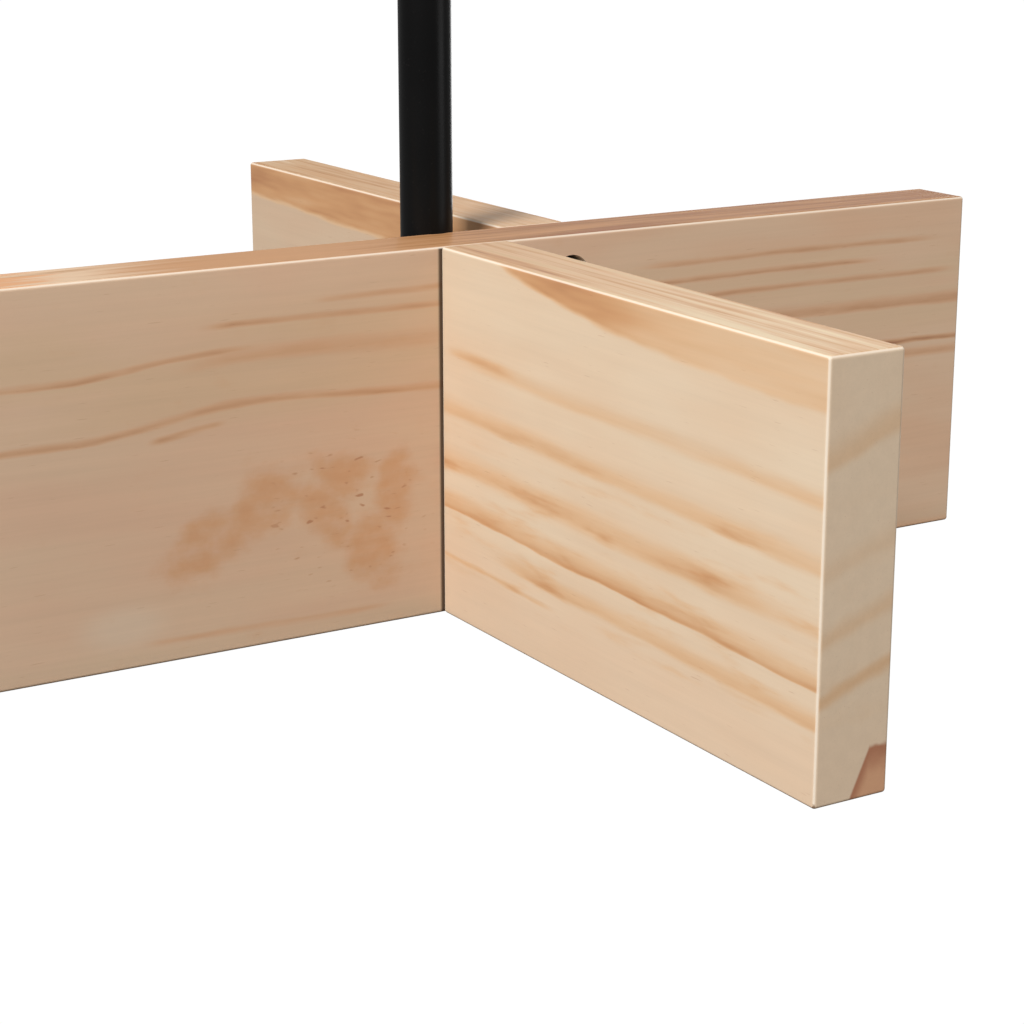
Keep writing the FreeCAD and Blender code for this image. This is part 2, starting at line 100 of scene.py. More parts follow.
class Timber:
    """Where a point lies in a board: along its length, in from its face and down from its top."""

    def __init__(self, tree, corner, along, inward, seed):
        self.tree = tree
        self.along = millimetres(tree, corner, along)
        self.inward = millimetres(tree, corner, inward)
        self.down = millimetres(tree, corner, (0, 0, -1))
        self.place = add(tree, "CombineXYZ", {0: self.along, 1: self.inward,
                                              2: self.down}).outputs[0]
        self.seed = seed

    def fibre(self, length, width, detail=2.0, shift=0.0):
        """Noise in cells of length along the grain and width across it, from 0 to 1."""
        cell = (1.0 / length, 1.0 / width, 1.0 / width)
        spot = add(self.tree, "VectorMath", {0: self.place, 1: cell,
                                             2: (self.seed + shift, shift, self.seed)},
                   operation="MULTIPLY_ADD").outputs[0]
        made = add(self.tree, "TexNoise", {"Vector": spot, "Scale": 1.0, "Detail": detail,
                                           "Roughness": 0.55})
        return made.outputs["Fac"]

    def wander(self, length, width, amount, detail=1.0, shift=0.0):
        """Noise of amount either way about 0."""
        noise = self.fibre(length, width, detail, shift)
        return calc(self.tree, "MULTIPLY_ADD", noise, 2.0 * amount, -amount)

    def patch(self, along, down, half_length, half_height, tilt, edge=0.6):
        """1 in the middle of a tilted oval on the wide face, 0 outside it."""
        tree = self.tree
        turn = math.radians(tilt)
        across = calc(tree, "SUBTRACT", self.along, along)
        below = calc(tree, "SUBTRACT", self.down, down)
        major = calc(tree, "ADD", calc(tree, "MULTIPLY", across, math.cos(turn) / half_length),
                     calc(tree, "MULTIPLY", below, math.sin(turn) / half_length))
        minor = calc(tree, "SUBTRACT", calc(tree, "MULTIPLY", below, math.cos(turn) / half_height),
                     calc(tree, "MULTIPLY", across, math.sin(turn) / half_height))
        reach = calc(tree, "SQRT", calc(tree, "ADD", calc(tree, "MULTIPLY", major, major),
                                        calc(tree, "MULTIPLY", minor, minor)))
        return rise(tree, reach, 1.0 - edge, 1.0 + edge, 1.0, 0.0)


def growth_line(wood, height, at, soft, strength, start=None, end=None, fade=15.0, sharp=1.6):
    """A band of late wood: it darkens over soft above the line and ends over sharp below it."""
    tree = wood.tree
    into = rise(tree, height, at - soft, at)
    out = rise(tree, height, at, at + sharp, 1.0, 0.0)
    line = calc(tree, "MULTIPLY", calc(tree, "MULTIPLY", into, out), strength)
    if start is not None:
        line = calc(tree, "MULTIPLY", line, span(tree, wood.along, start, end, fade))
    return line


RED_BROWN = (0.330, 0.130, 0.065, 1)
# Each set of tones runs from honey through orange to red brown.
RIFT_TONES = ((0.685, 0.455, 0.272, 1), (0.580, 0.315, 0.155, 1), RED_BROWN)
FLAT_TONES = ((0.655, 0.405, 0.250, 1), (0.545, 0.300, 0.165, 1), (0.300, 0.125, 0.070, 1))
TOP_EDGE_TONES = ((0.445, 0.210, 0.082, 1), (0.340, 0.140, 0.048, 1), RED_BROWN)
# Painted highlight for the eased edges, and painted shade for those along the foot of each board.
PAINTED_EDGE_HIGHLIGHT = (0.880, 0.760, 0.620, 1)
PAINTED_EDGE_SHADE = (0.200, 0.110, 0.060, 1)


def late_wood(tree, amount, early, tones=RIFT_TONES):
    """The colour from early wood at 0, through honey and orange, to red brown at 1.3."""
    honey = blend(tree, rise(tree, amount, 0.0, 0.50), early, tones[0])
    orange = blend(tree, rise(tree, amount, 0.35, 0.90), honey, tones[1])
    return blend(tree, rise(tree, amount, 0.80, 1.30), orange, tones[2])


def clouded(tree, wood, first, second, share, length=60.0, width=14.0):
    """Two close tones of early wood that drift into each other along the board."""
    drift = rise(tree, wood.fibre(length, width, shift=1.0), 0.32, 0.68)
    return blend(tree, calc(tree, "MULTIPLY", drift, share), first, second)


def facing(tree, direction):
    """1 on a flat face that looks along direction, 0 on the others."""
    normal = add(tree, "TexCoord").outputs["Normal"]
    toward = add(tree, "VectorMath", {0: normal, 1: direction}, operation="DOT_PRODUCT")
    return rise(tree, toward.outputs["Value"], 0.70, 0.90)


def arris(tree):
    """1 on the eased edges, where the surface faces between two sides, and 0 on the flats."""
    normal = add(tree, "TexCoord").outputs["Normal"]
    size = add(tree, "VectorMath", {0: normal}, operation="ABSOLUTE").outputs[0]
    parts = add(tree, "SeparateXYZ", {0: size}).outputs
    most = calc(tree, "MAXIMUM", calc(tree, "MAXIMUM", parts[0], parts[1]), parts[2])
    return rise(tree, most, 0.80, 0.97, 1.0, 0.0)


def surface(tree, colour, roughness, relief, strength, depth, gloss):
    """The shader and its output. The relief is depth millimetres deep, and gloss sets the rest."""
    bump = add(tree, "Bump", {"Height": relief, "Strength": strength, "Distance": depth * MM})
    shader = add(tree, "BsdfPrincipled", {"Base Color": colour, "Roughness": roughness,
                                          "Normal": bump.outputs[0], **gloss})
    add(tree, "OutputMaterial", {"Surface": shader.outputs[0]})


def finish_pine(wood, colour, late, board_height):
    """Adds the fibres, pores, gloss and relief that all the boards share, with a painted highlight on
    the eased edges and painted shade on those along the foot.
    """
    tree = wood.tree
    fine = wood.fibre(30.0, 0.6, 3.0, 7.0)
    silky = wood.fibre(70.0, 3.0, 2.0, 3.0)
    tone = total(tree, [calc(tree, "MULTIPLY", fine, 0.07), calc(tree, "MULTIPLY", silky, 0.10), 0.915])
    grey = add(tree, "CombineColor", {0: tone, 1: tone, 2: tone}).outputs[0]
    colour = blend(tree, 1.0, colour, grey, "MULTIPLY")
    pores = rise(tree, wood.fibre(6.0, 0.4, 1.0, 19.0), 0.70, 0.78)
    colour = blend(tree, calc(tree, "MULTIPLY", pores, 0.22), colour, RED_BROWN)
    # The eased edges get a painted highlight, and those along the foot get painted shade.
    edge = arris(tree)
    foot = rise(tree, wood.down, board_height - 1.4, board_height - 0.6)
    highlighted_edge = calc(tree, "MULTIPLY", edge, calc(tree, "SUBTRACT", 1.0, foot))
    colour = blend(tree, calc(tree, "MULTIPLY", highlighted_edge, 0.80), colour, PAINTED_EDGE_HIGHLIGHT)
    shaded_edge = calc(tree, "MULTIPLY", edge, foot)
    colour = blend(tree, calc(tree, "MULTIPLY", shaded_edge, 0.80), colour, PAINTED_EDGE_SHADE)
    relief = total(tree, [calc(tree, "MULTIPLY", fine, 0.5), calc(tree, "MULTIPLY", late, 0.5),
                          calc(tree, "MULTIPLY", pores, -0.6)])
    rough = calc(tree, "MULTIPLY_ADD", fine, 0.14, 0.44)
    surface(tree, colour, rough, relief, 0.30, 0.05, {"Specular IOR Level": 0.08})


def new_material(name):
    """An empty node material and its tree."""
    material = bpy.data.materials.new(name)
    material.use_nodes = True
    material.node_tree.nodes.clear()
    return material, material.node_tree


def wear(node, material):
    """Gives a carried over piece its finish."""
    piece = nodes[node]
    piece.data.materials.clear()
    piece.data.materials.append(material)


# How far down each band ends, how far it fades in above that, its strength, where along the board
# from the tube it starts and ends, the fade at those ends and, if not 1.6, how far it fades below.
LONG_BOARD_BANDS = (
    (9.0, 1.6, 0.45, -37.0, -9.0, 8.0),
    (14.2, 2.2, 0.50, -62.0, -9.0, 12.0),
    (22.3, 1.8, 0.62, -150.0, -70.0, 16.0, 1.0),
    (25.0, 6.0, 0.42, -66.0, -14.0, 14.0, 3.0),
    (36.2, 2.0, 0.62, -150.0, 10.0, 10.0, 1.3),
    (39.6, 1.3, 0.55, -80.0, -68.0, 5.0),
    (84.0, 1.4, 0.35, -80.0, -30.0, 10.0),
    (10.2, 2.0, 0.62, 60.0, 128.0, 20.0, 1.2),
    (15.8, 2.2, 0.72, 34.0, 112.0, 14.0, 1.2),
    (21.8, 2.2, 0.60, 30.0, 140.0, 12.0),
    (30.5, 4.0, 0.66, 60.0, 150.0, 14.0),
    (40.8, 1.6, 1.00, 60.0, 150.0, 12.0, 1.0),
    (44.4, 2.6, 0.60, 60.0, 150.0, 12.0),
    (90.0, 5.0, 0.55, 20.0, 150.0, 12.0))
# The ovals of the swirl: along, down, half length, half height and tilt in degrees.
SWIRL = (
    (-70.0, 63.0, 12.5, 7.0, -26.0),
    (-55.0, 55.0, 11.5, 7.0, -32.0),
    (-36.0, 51.0, 8.5, 6.5, 0.0),
    (-22.0, 56.0, 5.5, 10.0, 10.0),
    (-40.0, 60.0, 12.0, 5.6, 48.0),
    (-28.0, 70.0, 10.5, 7.5, 60.0))
ROSY = (0.695, 0.468, 0.322, 1)
ROSY_TAN = (0.680, 0.442, 0.290, 1)
STRAW = (0.690, 0.500, 0.345, 1)
OLIVE_TAN = (0.665, 0.470, 0.308, 1)
BUFF = (0.700, 0.560, 0.420, 1)
FOOT_TAN = (0.620, 0.470, 0.320, 1)
END_TAN = (0.600, 0.410, 0.265, 1)
SWIRL_ORANGE = (0.640, 0.345, 0.180, 1)
FLECK_BROWN = (0.460, 0.200, 0.100, 1)
TOP_CREAM = (0.770, 0.550, 0.370, 1)
# The top edge's honey and brown are partly the wood's tone and partly painted shade.
TOP_HONEY_AND_SHADE = (0.590, 0.320, 0.165, 1)
TOP_BROWN_AND_SHADE = (0.500, 0.240, 0.095, 1)
TOP_FLUSH = (0.740, 0.360, 0.170, 1)
# Painted shade for the corner where the front short board meets the long board's front face.
PAINTED_JOINT_SHADE = (0.040, 0.022, 0.012, 1)
JOINT_HALF_WIDTH = 9.3


def long_board_late_wood(wood):
    """The board's bands, which climb over the hidden knot and settle towards the tube."""
    tree = wood.tree
    climb = rise(tree, wood.along, -104.0, -56.0, 0.0, 5.2)
    settle = rise(tree, wood.along, -52.0, -8.0, 0.0, -1.5)
    flow = calc(tree, "MULTIPLY", calc(tree, "ADD", climb, settle),
                span(tree, wood.down, 24.0, 56.0, 16.0))
    height = total(tree, [wood.down, flow, calc(tree, "MULTIPLY", wood.inward, 0.35),
                          wood.wander(60.0, 14.0, 1.0), wood.wander(14.0, 1.6, 0.5, 2.0, 5.0)])
    lines = [growth_line(wood, height, *band) for band in LONG_BOARD_BANDS]
    fading = calc(tree, "MULTIPLY_ADD", wood.fibre(28.0, 5.0, 3.0, 11.0), 1.9, 0.05)
    return calc(tree, "MULTIPLY", total(tree, lines), fading)


def long_board_early_wood(wood):
    """Rosy wood that turns tan to the right, olive near the top and paler at the foot."""
    tree = wood.tree
    rosy = blend(tree, rise(tree, wood.along, 0.0, 60.0), ROSY, ROSY_TAN)
    early = clouded(tree, wood, rosy, STRAW, 0.7)
    upper = calc(tree, "MULTIPLY", rise(tree, wood.down, 6.0, 14.0),
                 rise(tree, wood.down, 30.0, 38.0, 1.0, 0.0))
    olive = calc(tree, "MULTIPLY", upper, rise(tree, wood.fibre(50.0, 8.0, 2.0, 14.0), 0.25, 0.60))
    early = blend(tree, calc(tree, "MULTIPLY", olive, 0.90), early, OLIVE_TAN)
    pale_spot = wood.patch(-91.0, 79.0, 9.0, 4.5, 0.0)
    early = blend(tree, calc(tree, "MULTIPLY", pale_spot, 0.55), early, BUFF)
    foot = rise(tree, wood.down, 82.0, 87.0)
    return blend(tree, calc(tree, "MULTIPLY", foot, 0.45), early, FOOT_TAN)


def knot_swirl(wood, colour):
    """Lays a ragged orange swirl and its small brown flecks over the colour."""
    tree = wood.tree
    strongest = wood.patch(*SWIRL[0])
    for oval in SWIRL[1:]:
        strongest = calc(tree, "MAXIMUM", strongest, wood.patch(*oval))
    ragged = calc(tree, "MULTIPLY_ADD", wood.fibre(9.0, 6.0, 4.0, 2.0), 2.0, -1.05)
    stain = rise(tree, calc(tree, "ADD", strongest, ragged), 0.10, 1.25)
    colour = blend(tree, calc(tree, "MULTIPLY", stain, 0.85), colour, SWIRL_ORANGE)
    specks = rise(tree, wood.fibre(4.2, 1.5, 1.0, 23.0), 0.65, 0.74)
    flecks = calc(tree, "MULTIPLY", specks, wood.patch(-34.0, 60.0, 20.0, 17.0, 10.0, 0.4))
    return blend(tree, calc(tree, "MULTIPLY", flecks, 0.75), colour, FLECK_BROWN)


def long_board_top(wood):
    """The top edge: cream at the left, honey, then brown, in streaks that feather into each other; the
    honey and brown are partly the wood's tone and partly painted shade.
    """
    tree = wood.tree
    feathered = calc(tree, "ADD", wood.along, wood.wander(45.0, 2.2, 34.0, 2.0, 41.0))
    honeyed_and_shaded = rise(tree, feathered, -100.0, -70.0)
    browner_and_shaded = rise(tree, feathered, -45.0, 40.0)
    flush = span(tree, feathered, -130.0, -110.0, 10.0)
    early = blend(tree, honeyed_and_shaded, TOP_CREAM, TOP_HONEY_AND_SHADE)
    early = blend(tree, browner_and_shaded, early, TOP_BROWN_AND_SHADE)
    early = blend(tree, calc(tree, "MULTIPLY", flush, 0.8), early, TOP_FLUSH)
    streaks = total(tree, [calc(tree, "MULTIPLY", wood.fibre(60.0, 2.8, 3.0, 31.0), 3.0),
                           calc(tree, "MULTIPLY_ADD", browner_and_shaded, 0.85, -1.75)])
    return late_wood(tree, streaks, early, TOP_EDGE_TONES)


def long_board_pine():
    """Flat sawn pine: few bands, a swirl round a hidden knot, and streaks on the top edge."""
    low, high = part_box("long_board")
    material, tree = new_material("flat_sawn_pine")
    wood = Timber(tree, (0.0, low.y, high.z), (1, 0, 0), (0, 1, 0), 4.0)
    late = long_board_late_wood(wood)
    colour = late_wood(tree, late, long_board_early_wood(wood), FLAT_TONES)
    cut_end = calc(tree, "MAXIMUM", facing(tree, (1, 0, 0)), facing(tree, (-1, 0, 0)))
    speckle = rise(tree, wood.fibre(3.0, 0.7, 2.0, 61.0), 0.40, 0.70, 0.15, 0.65)
    colour = blend(tree, calc(tree, "MULTIPLY", cut_end, speckle), colour, END_TAN)
    colour = knot_swirl(wood, colour)
    colour = blend(tree, facing(tree, (0, 0, 1)), colour, long_board_top(wood))
    # A line of painted shade on the long board's front face, just past the front short board's sides.
    joint = calc(tree, "MULTIPLY", facing(tree, (0, -1, 0)),
                 span(tree, wood.along, -JOINT_HALF_WIDTH, JOINT_HALF_WIDTH, 0.8))
    colour = blend(tree, calc(tree, "MULTIPLY", joint, 0.88), colour, PAINTED_JOINT_SHADE)
    finish_pine(wood, colour, late, (high.z - low.z) / MM)
    return material


wear("long_board", long_board_pine())


# ---- Front short board -------------------------------------------------------------------------
# The front short board is rift sawn pine with broad late wood bands along it. Two barrel nuts
# lie in holes in its right side, and bolts through the tube and the long board draw it up tight.

# The rows are as for the long board's bands, but measured along from the long board's face.
FRONT_BOARD_BANDS = (
    (24.3, 3.0, 0.34, 10.0, 24.0, 12.0),
    (25.3, 5.0, 0.34, 20.0, 150.0, 20.0, 2.5),
    (38.0, 6.0, 0.44, -10.0, 150.0, 20.0, 2.5),
    (50.6, 6.5, 0.52, -10.0, 104.0, 34.0, 3.4),
    (50.6, 5.5, 0.25, 110.0, 150.0, 30.0, 2.2),
    (61.6, 7.0, 0.62, -10.0, 150.0, 20.0, 0.9),
    (61.8, 1.5, 0.16, -10.0, 150.0, 20.0, 0.6),
    (69.0, 5.0, 0.50, 40.0, 150.0, 25.0, 2.0),
    (74.0, 1.4, 0.45, -10.0, 42.0, 12.0, 1.0))
# The rings on the sawn end: how far down each ends, how far it fades in above, and its strength.
END_RINGS = (
    (21.0, 8.0, 0.34),
    (43.0, 6.0, 0.20),
    (56.0, 5.0, 0.30),
    (67.5, 3.0, 0.46))
CREAM = (0.715, 0.568, 0.410, 1)
PALE_HONEY = (0.700, 0.525, 0.365, 1)
FOOT_BLUSH = (0.700, 0.490, 0.335, 1)
END_CREAM = (0.735, 0.565, 0.400, 1)
RESIN_RED = (0.400, 0.145, 0.070, 1)
RESIN_ORANGE = (0.620, 0.320, 0.175, 1)
NEAR_HONEY_AND_SHADE = (0.640, 0.420, 0.230, 1)
FAR_CREAM = (0.760, 0.600, 0.400, 1)


def wedge_of_late_wood(wood, foot):
    """The band of late wood that the top edge cuts off, as deep as foot says."""
    tree = wood.tree
    softness = 1.6
    depth = calc(tree, "ADD", wood.down, wood.wander(16.0, 4.0, 1.1, 2.0, 6.0))
    return rise(tree, calc(tree, "SUBTRACT", foot, depth), -0.5 * softness, softness)


def front_board_late_wood(wood, cut_end):
    """Soft bands that fall towards the free end, with gold between the stronger ones."""
    tree = wood.tree
    height = total(tree, [wood.down, calc(tree, "MULTIPLY", wood.along, -0.022),
                          calc(tree, "MULTIPLY", wood.inward, 0.05),
                          wood.wander(70.0, 16.0, 1.0), wood.wander(16.0, 2.0, 0.7, 2.0, 5.0)])
    lines = [growth_line(wood, height, *band) for band in FRONT_BOARD_BANDS]
    gold = calc(tree, "MULTIPLY", rise(tree, wood.fibre(26.0, 4.5, 3.0, 51.0), 0.48, 0.74),
                span(tree, wood.down, 44.0, 74.0, 10.0))
    lines.append(calc(tree, "MULTIPLY", gold, 0.34))
    fading = calc(tree, "MULTIPLY_ADD", wood.fibre(32.0, 5.0, 3.0, 11.0), 1.15, 0.40)
    fading = calc(tree, "MULTIPLY", fading, calc(tree, "MULTIPLY_ADD", cut_end, -0.62, 1.0))
    return calc(tree, "MULTIPLY", total(tree, lines), fading)


def front_board_wedge(wood, cut_end):
    """The band under the top edge. It deepens from nothing at the long board, then pales."""
    tree = wood.tree
    decay = calc(tree, "POWER", math.e, calc(tree, "MULTIPLY_ADD", wood.along, -1.0 / 42.0, 0.52))
    wedge = wedge_of_late_wood(wood, calc(tree, "MULTIPLY_ADD", decay, -12.5, 12.0))
    paling = rise(tree, wood.along, 50.0, 110.0, 1.0, 0.42)
    wedge = calc(tree, "MULTIPLY", calc(tree, "MULTIPLY", wedge, paling),
                 calc(tree, "MULTIPLY_ADD", wood.fibre(40.0, 5.0, 2.0, 13.0), 1.0, 0.45))
    return calc(tree, "MULTIPLY", wedge, calc(tree, "MULTIPLY_ADD", cut_end, -0.75, 1.0))


def sawn_end(wood, colour, cut_end):
    """Lays cream, the cut rings and a corner of resin over the colour, on the free end only."""
    tree = wood.tree
    colour = blend(tree, calc(tree, "MULTIPLY", cut_end, 0.7), colour, END_CREAM)
    ring = total(tree, [wood.down, calc(tree, "MULTIPLY", wood.inward, 0.35),
                        wood.wander(30.0, 9.0, 1.6, 2.0, 44.0)])
    rings = total(tree, [growth_line(wood, ring, *row, sharp=3.0) for row in END_RINGS])
    colour = late_wood(tree, calc(tree, "MULTIPLY", rings, cut_end), colour)
    slope = calc(tree, "MULTIPLY_ADD", wood.inward, -2.22, 107.9)
    upper_edge = calc(tree, "ADD", wood.wander(9.0, 3.0, 1.2), 78.5)
    inside = calc(tree, "MINIMUM", calc(tree, "SUBTRACT", wood.down, slope),
                  calc(tree, "SUBTRACT", wood.down, upper_edge))
    resin = calc(tree, "MULTIPLY", rise(tree, inside, -0.7, 0.7), cut_end)
    tone = blend(tree, rise(tree, inside, 0.5, 7.0), RESIN_RED, RESIN_ORANGE)
    return blend(tree, calc(tree, "MULTIPLY", resin, 0.88), colour, tone)


def front_board_top(wood):
    """The top edge, honey by the long board and cream at the free end, in fine streaks; the honey and
    the extra streaks near the long board are partly painted shade.
    """
    tree = wood.tree
    near_streaks_and_shade = rise(tree, wood.along, 10.0, 100.0, 0.12, 0.0)
    streaks = total(tree, [calc(tree, "MULTIPLY", wood.fibre(70.0, 2.4, 3.0, 31.0), 3.0), -1.10, near_streaks_and_shade])
    early = blend(tree, rise(tree, wood.along, 0.0, 130.0), NEAR_HONEY_AND_SHADE, FAR_CREAM)
    return late_wood(tree, streaks, early)


def front_board_pine():
    """Rift sawn pine: soft bands along the board, and one that the top edge cuts off."""
    low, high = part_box("front_short_board")
    material, tree = new_material("rift_sawn_pine_front")
    wood = Timber(tree, (low.x, high.y, high.z), (0, -1, 0), (1, 0, 0), 1.0)
    cut_end = facing(tree, (0, -1, 0))
    late = front_board_late_wood(wood, cut_end)
    early = clouded(tree, wood, CREAM, PALE_HONEY, 0.8, 50.0, 16.0)
    foot = rise(tree, wood.down, 62.0, 80.0)
    early = blend(tree, calc(tree, "MULTIPLY", foot, 0.5), early, FOOT_BLUSH)
    colour = late_wood(tree, late, early)
    colour = late_wood(tree, front_board_wedge(wood, cut_end), colour)
    colour = sawn_end(wood, colour, cut_end)
    # A thin painted highlight along the front short board's end where it meets the long board.
    heel = rise(tree, wood.along, 0.5, 0.9, 1.0, 0.0)
    colour = blend(tree, calc(tree, "MULTIPLY", heel, 0.75), colour, PAINTED_EDGE_HIGHLIGHT)
    colour = blend(tree, facing(tree, (0, 0, 1)), colour, front_board_top(wood))
    finish_pine(wood, colour, late, (high.z - low.z) / MM)
    return material


wear("front_short_board", front_board_pine())


# ---- Rear short board --------------------------------------------------------------------------
# The rear short board is cut from the same plank. It stands one and a half thicknesses to the
# right, clear of the tube, and two long wood screws from the long board's front hold it.

# How far down each band ends, how far it fades in above, and its strength.
REAR_BOARD_BANDS = (
    (28.0, 5.0, 0.45),
    (41.0, 5.5, 0.50),
    (52.0, 5.0, 0.70),
    (66.0, 6.0, 0.75),
    (77.0, 4.0, 0.45))
DULL_CREAM = (0.620, 0.465, 0.325, 1)
DULL_HONEY = (0.610, 0.430, 0.295, 1)
REAR_TOP_HONEY_AND_SHADE = (0.650, 0.385, 0.205, 1)
REAR_TOP_CREAM = (0.780, 0.590, 0.410, 1)


def rear_board_pine():
    """Rift sawn pine, a shade darker, with a band along its top edge."""
    low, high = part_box("rear_short_board")
    material, tree = new_material("rift_sawn_pine_rear")
    wood = Timber(tree, (low.x, low.y, high.z), (0, 1, 0), (1, 0, 0), 9.0)
    height = total(tree, [wood.down, calc(tree, "MULTIPLY", wood.along, -0.02),
                          wood.wander(70.0, 16.0, 1.0), wood.wander(16.0, 2.0, 0.7, 2.0, 5.0)])
    lines = [growth_line(wood, height, *band) for band in REAR_BOARD_BANDS]
    cut_end = facing(tree, (0, 1, 0))
    fading = calc(tree, "MULTIPLY_ADD", wood.fibre(32.0, 5.0, 3.0, 11.0), 1.35, 0.30)
    fading = calc(tree, "MULTIPLY", fading, calc(tree, "MULTIPLY_ADD", cut_end, -0.55, 1.0))
    late = calc(tree, "MULTIPLY", total(tree, lines), fading)
    early = clouded(tree, wood, DULL_CREAM, DULL_HONEY, 0.8, 50.0, 16.0)
    colour = late_wood(tree, late, early)
    wedge = wedge_of_late_wood(wood, calc(tree, "MULTIPLY_ADD", wood.along, -0.035, 14.0))
    wedge = calc(tree, "MULTIPLY", wedge,
                 calc(tree, "MULTIPLY_ADD", wood.fibre(40.0, 5.0, 2.0, 13.0), 1.0, 0.40))
    wedge = calc(tree, "MULTIPLY", wedge, calc(tree, "MULTIPLY_ADD", cut_end, -0.6, 1.0))
    colour = late_wood(tree, wedge, colour)
    streaks = calc(tree, "MULTIPLY_ADD", wood.fibre(70.0, 2.6, 3.0, 31.0), 3.0, -1.05)
    # The top edge is honey, partly the wood's tone and partly painted shade, and turns cream near the
    # free end.
    top_early = blend(tree, rise(tree, wood.along, 128.0, 142.0), REAR_TOP_HONEY_AND_SHADE, REAR_TOP_CREAM)
    colour = blend(tree, facing(tree, (0, 0, 1)), colour, late_wood(tree, streaks, top_early))
    finish_pine(wood, colour, late, (high.z - low.z) / MM)
    return material


wear("rear_short_board", rear_board_pine())


# ---- Drop tube ---------------------------------------------------------------------------------
# The drop tube is half inch steel tube, 1.5 mm in the wall, in a stoved satin black enamel. It
# carries the whole rack: two bolts cross it at the boards, and grub screws hold it at the ceiling.
def mottle(tree, scale, detail):
    """Noise over a piece, from 0 to 1, with about scale cells to the metre."""
    here = add(tree, "TexCoord").outputs["Object"]
    return add(tree, "TexNoise", {"Vector": here, "Scale": scale, "Detail": detail}).outputs["Fac"]


def black_enamel(name, peel_size, roughness):
    """Sprayed black enamel: near black, with a faint orange peel and patches dulled by hands."""
    material, tree = new_material(name)
    peel = mottle(tree, 1.0 / peel_size, 3.0)
    handled = mottle(tree, 28.0, 4.0)
    dust = rise(tree, mottle(tree, 1400.0, 1.0), 0.70, 0.78)
    colour = blend(tree, handled, (0.0026, 0.0026, 0.0028, 1), (0.0052, 0.0051, 0.0050, 1))
    colour = blend(tree, calc(tree, "MULTIPLY", dust, 0.10), colour, (0.060, 0.055, 0.050, 1))
    rough = calc(tree, "MULTIPLY_ADD", handled, 0.18, roughness - 0.09)
    surface(tree, colour, rough, peel, 0.25, 0.05, {"Specular IOR Level": 0.12})
    return material


tube_enamel = black_enamel("stoved_black_enamel", 0.9 * MM, 0.30)
wear("drop_tube", tube_enamel)


# ---- Tube foot plug ------------------------------------------------------------------------------
# The plug is moulded in black polyethylene, with three ribs round its stem that grip the bore.
# It is pressed into the tube's foot as far as its flange, which covers the tube's cut end.
def black_polyethylene():
    """Moulded plastic with a fine spark eroded texture."""
    material, tree = new_material("black_polyethylene")
    here = add(tree, "TexCoord").outputs["Object"]
    grit = add(tree, "TexVoronoi", {"Vector": here, "Scale": 2600.0}).outputs["Distance"]
    cloud = mottle(tree, 180.0, 3.0)
    colour = blend(tree, cloud, (0.013, 0.013, 0.014, 1), (0.024, 0.024, 0.025, 1))
    surface(tree, colour, 0.55, grit, 0.35, 0.04, {"Specular IOR Level": 0.40})
    return material


wear("tube_foot_plug", black_polyethylene())


# ---- Tube bolts and saddle washers -----------------------------------------------------------------
# Two M5 socket head bolts pass through saddle washers, the tube and the long board. They are
# black oxide steel, oiled, and rubbed a little brown where the key and the washers touch.
def black_oxide():
    """Oiled black oxide: blue black, with brown rubs and a mist in its gloss."""
    material, tree = new_material("oiled_black_oxide")
    mist = mottle(tree, 700.0, 5.0)
    rub = rise(tree, mottle(tree, 240.0, 4.0), 0.55, 0.72)
    colour = blend(tree, mist, (0.016, 0.016, 0.018, 1), (0.034, 0.034, 0.037, 1))
    colour = blend(tree, calc(tree, "MULTIPLY", rub, 0.45), colour, (0.085, 0.062, 0.046, 1))
    rough = calc(tree, "MULTIPLY_ADD", mist, 0.26, 0.28)
    surface(tree, colour, rough, mist, 0.20, 0.02, {"Metallic": 0.85})
    return material


oiled_oxide = black_oxide()
wear("tube_bolts", oiled_oxide)
wear("saddle_washers", oiled_oxide)


# ---- Barrel nuts -----------------------------------------------------------------------------------
# The barrel nuts are turned from 10 mm bar, cross drilled and slotted, and bright zinc plated.
# They lie in the front short board, and the tube bolts pull on them.
def bright_zinc():
    """Zinc plate over steel: silver with a blue and straw tint, and a fine mist in its gloss."""
    material, tree = new_material("bright_zinc")
    cloud = mottle(tree, 90.0, 4.0)
    mist = mottle(tree, 1500.0, 3.0)
    colour = blend(tree, cloud, (0.70, 0.73, 0.78, 1), (0.80, 0.78, 0.72, 1))
    colour = blend(tree, calc(tree, "MULTIPLY", mist, 0.35), colour, (0.52, 0.53, 0.55, 1))
    rough = calc(tree, "MULTIPLY_ADD", cloud, 0.22, 0.26)
    surface(tree, colour, rough, mist, 0.18, 0.02, {"Metallic": 1.0})
    return material


zinc_plate = bright_zinc()
wear("barrel_nuts", zinc_plate)


# ---- Rear board screws -----------------------------------------------------------------------------
# Two long wood screws, black oxide like the bolts, stand at the bottom of counterbores in the
# long board's front and run into the rear short board's end.
wear("rear_board_screws", oiled_oxide)


# ---- Joint dowels ----------------------------------------------------------------------------------
# The dowels are plain 8 mm beech, chamfered at both ends. They are glued into both butt joints,
# where nobody sees them, and they stop the short boards from turning.
def rolled_beech():
    """Beech: pale pinkish brown, with the short dark rays that it shows along the grain."""
    material, tree = new_material("rolled_beech")
    here = add(tree, "TexCoord").outputs["Object"]
    along = add(tree, "VectorMath", {0: here, 1: (900.0, 110.0, 900.0)}, operation="MULTIPLY")
    rays = add(tree, "TexNoise", {"Vector": along.outputs[0], "Scale": 1.0, "Detail": 2.0})
    flecks = rise(tree, rays.outputs["Fac"], 0.52, 0.68)
    colour = blend(tree, flecks, (0.62, 0.43, 0.29, 1), (0.42, 0.25, 0.15, 1))
    surface(tree, colour, 0.6, flecks, 0.3, 0.04, {"Specular IOR Level": 0.25})
    return material


